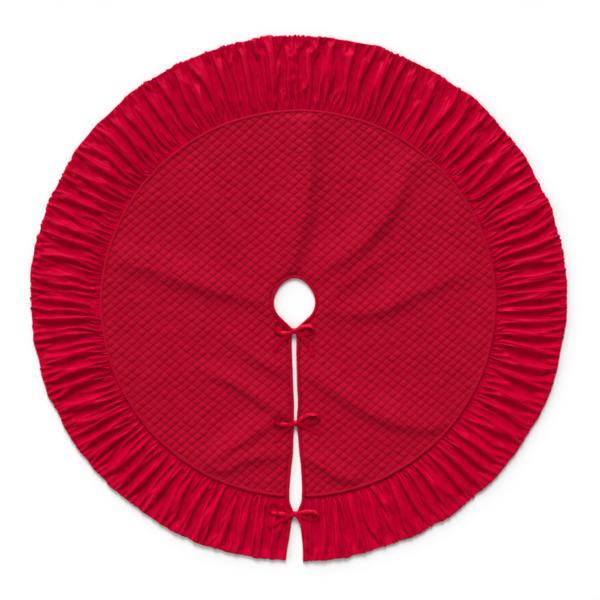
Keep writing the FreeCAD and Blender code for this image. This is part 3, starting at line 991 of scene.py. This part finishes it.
def bindings():
    """A folded and topstitched strip per half, round the opening and down the slit."""
    knots = np.arange(len(BINDING_SECTION))
    section = sampled(BINDING_SECTION, knots, np.arange(0, knots[-1] + 0.5, 0.5))
    across = path_length(section)
    on_top = ease(section[:, 1], 0.006, 0.008)
    near_row = np.exp(-((section[:, 0] - STITCH_ROW) / 0.0018) ** 2) * on_top
    for side in SIDES:
        line, tangent, inward = binding_line(side)
        along = path_length(line)
        beat = np.cos(2 * np.pi * along / STITCH_PITCH)
        pucker = 0.00018 * beat[:, None] * near_row + 0.0004 * line_noise(along / 0.014, 81)[:, None] * on_top
        sway = 0.0004 * line_noise(along / 0.022, 82)
        distance = section[:, 0] * (1 + 0.05 * line_noise(along / 0.03, 83)[:, None]) + sway[:, None]
        grid = swept(line, inward, distance, section[:, 1] + pucker)
        uv = pairs(along, across)
        item = grid_object(f"binding_{side}", grid, "binding_satin", uv, flip=side == "right")
        replaced = ("collar_binding_back", f"collar_binding_{side}", f"slit_binding_{side}")
        bend(item, replaced)
        topstitch(side, line, tangent, inward)


# ---------------- bows
RIBBON_WIDTH = 0.0106
RIBBON_PITCH = 0.0014
# Where each ribbon's loop and tail run, seen from above: X and Y in millimetres from the knot. Every
# loop also starts and ends in the knot, here given for the right side.
LOOP_ENDS = (2, 1.5), (2, -1.5)
BOWS = {
    ("upper", "left"): (
        ((-15, 10), (-33, 22), (-48, 25), (-54, 13), (-48, 1), (-30, -5), (-13, -4)),
        ((-3, -2), (-13, -11), (-38, -31), (-56, -57))),
    ("upper", "right"): (
        ((20, 11), (40, 15), (53, 13), (57, 4), (51, -7), (34, -9), (14, -5)),
        ((3, -2), (20, -14), (40, -41), (58, -68))),
    ("middle", "left"): (
        ((-14, 9), (-33, 20), (-50, 21), (-57, 11), (-50, 2), (-33, -2), (-13, -2)),
        ((-3, -2), (-12, -8), (-34, -28), (-55, -52))),
    ("middle", "right"): (
        ((14, 11), (30, 22), (50, 27), (66, 25), (69, 14), (60, 4), (36, -1), (15, -3)),
        ((3, -2), (20, -7), (46, -18), (71, -32))),
    ("lower", "left"): (
        ((-20, 10), (-46, 22), (-68, 26), (-75, 15), (-64, 6), (-38, 1), (-15, -2)),
        ((-3, -2), (-24, -11), (-50, -24), (-77, -38))),
    ("lower", "right"): (
        ((20, 6), (44, 8), (62, 5), (67, -4), (58, -14), (38, -14), (17, -7)),
        ((2, -2), (7, -9), (20, -30), (34, -66))),
}
# At each of those points: height in millimetres above what the ribbon lies on, how far it leans, in
# degrees, and its width as a share of the ribbon's. A loop with one more point has one at its tip.
LOOP_RUN = ((5, 14, 0.7), (4, 18, 1), (3, 24, 1), (3, 38, 1), (3, 46, 1), (2, 30, 1), (2, 20, 1),
            (4, 15, 0.9), (5, 15, 0.7))
LOOP_TIP = (3, 48, 1)
TAIL_RUN = {"left": ((4, 10, 0.7), (2.8, 12, 1.05), (1.8, 8, 1.05), (1.6, 4, 1.05)),
            "right": ((4, 10, 0.7), (2.8, -15, 1.05), (1.8, -12, 1.05), (1.6, -5, 1.05))}
# How far a tail's cut end slants.
TAIL_SLANT = 0.0028
# Half of a knot's band round the ribbons: length along X, reach along Y and rise.
KNOT_HALF_LENGTH = 0.0078
KNOT_REACH = 0.0076
KNOT_RISE = 0.0080
# Distance of each ribbon's sewn end from the slit's middle, and the row of tacks across it.
SEWN_AT = 0.0170
TACKS = 14
TACK_ROW = 0.0040
TACK_REACH = 0.0010
# The ground under the bows: its corners and the size of its cells.
GROUND_LOW, GROUND_HIGH = np.array([-0.12, -0.76]), np.array([0.12, -0.03])
GROUND_CELL = 0.004


def ground_height(items):
    """A function that gives the highest point of some pieces near a place."""
    shape = ((GROUND_HIGH - GROUND_LOW) / GROUND_CELL).astype(int) + 1
    heights = np.zeros(shape)
    for item in items:
        points = np.empty(len(item.data.vertices) * 3)
        item.data.vertices.foreach_get("co", points)
        points = points.reshape(-1, 3)
        spot = ((points[:, :2] - GROUND_LOW) / GROUND_CELL).astype(int)
        fits = ((spot >= 0) & (spot < shape)).all(1)
        np.maximum.at(heights, tuple(spot[fits].T), points[fits, 2])
    grown = heights.copy()
    for axis in (0, 1):
        for step in (-1, 1):
            grown = np.maximum(grown, np.roll(heights, step, axis))

    def height(x, y):
        i = np.clip(((x - GROUND_LOW[0]) / GROUND_CELL).astype(int), 0, shape[0] - 1)
        j = np.clip(((y - GROUND_LOW[1]) / GROUND_CELL).astype(int), 0, shape[1] - 1)
        return grown[i, j]

    return height


def loop_knots(side, plan):
    """The points of a loop, each with its height, lean and width."""
    start, end = ((SIDES[side] * x, y) for x, y in LOOP_ENDS)
    plan = (start, *plan, end)
    run = LOOP_RUN if len(plan) == len(LOOP_RUN) else (*LOOP_RUN[:4], LOOP_TIP, *LOOP_RUN[4:])
    return [(*place, *rest) for place, rest in zip(plan, run)]


def ribbon_strip(knots, centre, ground, slant=0.0):
    """A grid for a ribbon that runs through knots, and its length."""
    knots = np.array(knots, float)
    x, y = centre[0] + knots[:, 0] * MM, centre[1] + knots[:, 1] * MM
    chord = path_length(np.stack([x, y], -1))
    at = np.linspace(0, chord[-1], max(8, int(chord[-1] / RIBBON_PITCH)))
    x, y, lift, lean, share = (smooth_curve(list(zip(chord, values)), at)
                               for values in (x, y, knots[:, 2] * MM, np.radians(knots[:, 3]), knots[:, 4]))
    base = ground(x, y)
    for _ in range(6):
        wide = np.pad(base, 1, mode="edge")
        base = np.maximum(base, 0.25 * wide[:-2] + 0.5 * wide[1:-1] + 0.25 * wide[2:])
    width = RIBBON_WIDTH * share
    z = smoothed(base + lift + 0.5 * width * np.abs(np.sin(lean)), 10)
    middle = np.stack([x, y, z], -1)
    tangent = unit(np.gradient(middle, axis=0))
    aside = unit(np.cross(tangent, (0, 0, 1)))
    up = np.cross(aside, tangent)
    spread = np.cos(lean)[:, None] * aside + np.sin(lean)[:, None] * up
    face = np.cross(spread, tangent)
    j = np.linspace(-1, 1, 9)[None, :, None]
    cup = 0.0007 * (1 - j * j) + 0.0012 * (1 - share)[:, None, None] * np.sin(j * 7)
    grid = middle[:, None] + spread[:, None] * j * (width / 2)[:, None, None] + face[:, None] * cup
    end = ease(at, chord[-1] - 0.004, chord[-1])[:, None, None]
    return grid + tangent[:, None] * j * slant * end, float(path_length(middle)[-1])


def knot_band(side, centre, bottom):
    """Half of the gathered band round a knot."""
    turn = np.linspace(-0.20 * math.pi, 1.20 * math.pi, 34)[:, None]
    t = np.linspace(0, 1, 11)[None, :]
    reach = KNOT_REACH + 0.0009 * np.sin(np.pi * t) + 0.0003 * np.sin(9 * t + 2)
    rise = KNOT_RISE * (1 - 0.22 * t ** 3)
    fold = 1 + 0.05 * np.sin(4 * turn + 5 * t) + 0.03 * np.sin(11 * turn)
    x = centre[0] + SIDES[side] * KNOT_HALF_LENGTH * t
    y = centre[1] + reach * np.cos(turn) * fold
    z = bottom + 0.0012 + rise * np.maximum(np.sin(turn), -0.2) * fold
    return np.dstack(np.broadcast_arrays(x, y, z))


def strap(side, centre, ground):
    """The sewn end of a ribbon, flat on the binding, up to the knot."""
    far = SIDES[side] * (SEWN_AT + 0.0015) / MM - centre[0] / MM
    near = SIDES[side] * 4.0
    knots = ((far, 0.5, 0.3, 0, 1.0), (far * 0.75, 0.3, 0.3, 0, 1.0), ((far + near) / 2, 0, 0.6, 5, 0.95),
             (near, 0, 2.5, 5, 0.6))
    return ribbon_strip(knots, centre, ground)


def bar_tack(side, level, height):
    """Starts and ends of the stitches across a ribbon's sewn end."""
    y = -TIE_AT[level] + np.linspace(-TACK_ROW, TACK_ROW, TACKS)
    x = np.full(TACKS, SIDES[side] * SEWN_AT)
    z = np.full(TACKS, height)
    lean = 0.0003 * (-1) ** np.arange(TACKS)
    return np.stack([x - TACK_REACH, y - lean, z], -1), np.stack([x + TACK_REACH, y + lean, z], -1)


def ribbon_object(name, grids):
    """One mesh from the grids of a ribbon's parts."""
    points, faces, uvs, count = [], [], [], 0
    for grid in grids:
        rows, columns = grid.shape[:2]
        along, across = path_length(grid[:, columns // 2]), np.linspace(0, RIBBON_WIDTH, columns)
        uvs.append(pairs(along, across).reshape(-1, 2))
        points.append(grid.reshape(-1, 3))
        faces.append(grid_faces(rows, columns) + count)
        count += rows * columns
    return mesh_object(name, np.concatenate(points), np.concatenate(faces), "ribbon_satin",
                       np.concatenate(uvs))


def ride_flap(item, side, replaced):
    """Let a small piece move with its flap, and hide the CAD node that it replaces."""
    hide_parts(replaced)
    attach(item, FLAPS[side])


def ties(ground):
    """The six ribbons, tied as three bows, and the tacks at their sewn ends."""
    tacks = {side: [] for side in SIDES}
    for (level, side), (loop, tail) in BOWS.items():
        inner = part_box(f"tie_{level}_left")[1][0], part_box(f"tie_{level}_right")[0][0]
        centre = np.array([sum(inner) / 2, -TIE_AT[level]])
        bottom = float(ground(np.array([SIDES[side] * 0.009]), np.array([centre[1]]))[0])
        tail_knots = [(*place, *rest) for place, rest in zip(tail, TAIL_RUN[side])]
        loop_grid, loop_length = ribbon_strip(loop_knots(side, loop), centre, ground)
        tail_grid, tail_length = ribbon_strip(tail_knots, centre, ground, TAIL_SLANT)
        sewn_grid, sewn_length = strap(side, centre, ground)
        item = ribbon_object(f"ribbon_{level}_{side}",
                             (loop_grid, tail_grid, sewn_grid, knot_band(side, centre, bottom)))
        ride_flap(item, side, f"tie_{level}_{side}")
        tacks[side].append(bar_tack(side, level, float(sewn_grid[2, :, 2].max()) + 0.0001))
    for side, rows in tacks.items():
        starts, ends = (np.concatenate(points) for points in zip(*rows))
        item = stitch_mesh(f"tack_stitches_{side}", starts, ends)
        ride_flap(item, side, f"bar_tacks_{side}")


# ---------------- room
# Each light's name, direction, spread in degrees and strength.
LIGHTS = (("key", (0.0, 3.0, 2.6), 24, 2.1), ("window", (-0.7, 3.0, 1.3), 36, 1.2),
          ("fill", (-3.0, 0.2, 1.3), 36, 0.75))
ROOM_LIGHT = 0.38
FLOOR_HALF = 12.0
FLOOR_WHITE = (0.95, 0.95, 0.95, 1)
CAMERA_PLACE = (0.0157, 0.0057, 4.0)
# Half the width of floor that the camera sees.
CAMERA_REACH = 0.856


def soft_light(name, place, spread, strength):
    """A soft light that falls on the skirt from the direction of place."""
    data = bpy.data.lights.new(name, "SUN")
    data.angle = math.radians(spread)
    data.energy = strength
    item = bpy.data.objects.new(name, data)
    bpy.context.scene.collection.objects.link(item)
    item.location = place
    item.rotation_euler = (-Vector(place)).to_track_quat("-Z", "Y").to_euler()


def room():
    """A white floor, three soft lights and a camera straight above."""
    MATERIALS["floor"] = bpy.data.materials.new("floor_white")
    MATERIALS["floor"].use_nodes = True
    shader = MATERIALS["floor"].node_tree.nodes["Principled BSDF"]
    for name, value in (("Base Color", FLOOR_WHITE), ("Roughness", 0.9), ("Specular IOR Level", 0.1)):
        shader.inputs[name].default_value = value
    corners = np.array([(-1, -1, 0), (1, -1, 0), (1, 1, 0), (-1, 1, 0)]) * FLOOR_HALF
    mesh_object("floor", corners, np.array([[0, 1, 2, 3]]), "floor")
    for light in LIGHTS:
        soft_light(*light)
    world = bpy.data.worlds.new("studio")
    world.use_nodes = True
    background = world.node_tree.nodes["Background"]
    background.inputs["Color"].default_value = (1, 1, 1, 1)
    background.inputs["Strength"].default_value = ROOM_LIGHT
    scene = bpy.context.scene
    scene.world = world
    scene.view_settings.view_transform = "Standard"
    camera = bpy.data.objects.new("camera", bpy.data.cameras.new("camera"))
    scene.collection.objects.link(camera)
    camera.location = CAMERA_PLACE
    camera.data.angle = 2 * math.atan(CAMERA_REACH / CAMERA_PLACE[2])
    scene.camera = camera


lining()
batting()
tapes()
quilt()
quilt_edge()
border()
bindings()
under_bows = ("quilted_satin", "gathered_border", "binding")
ties(ground_height([bpy.data.objects[f"{name}_{side}"] for name in under_bows for side in SIDES]))
room()
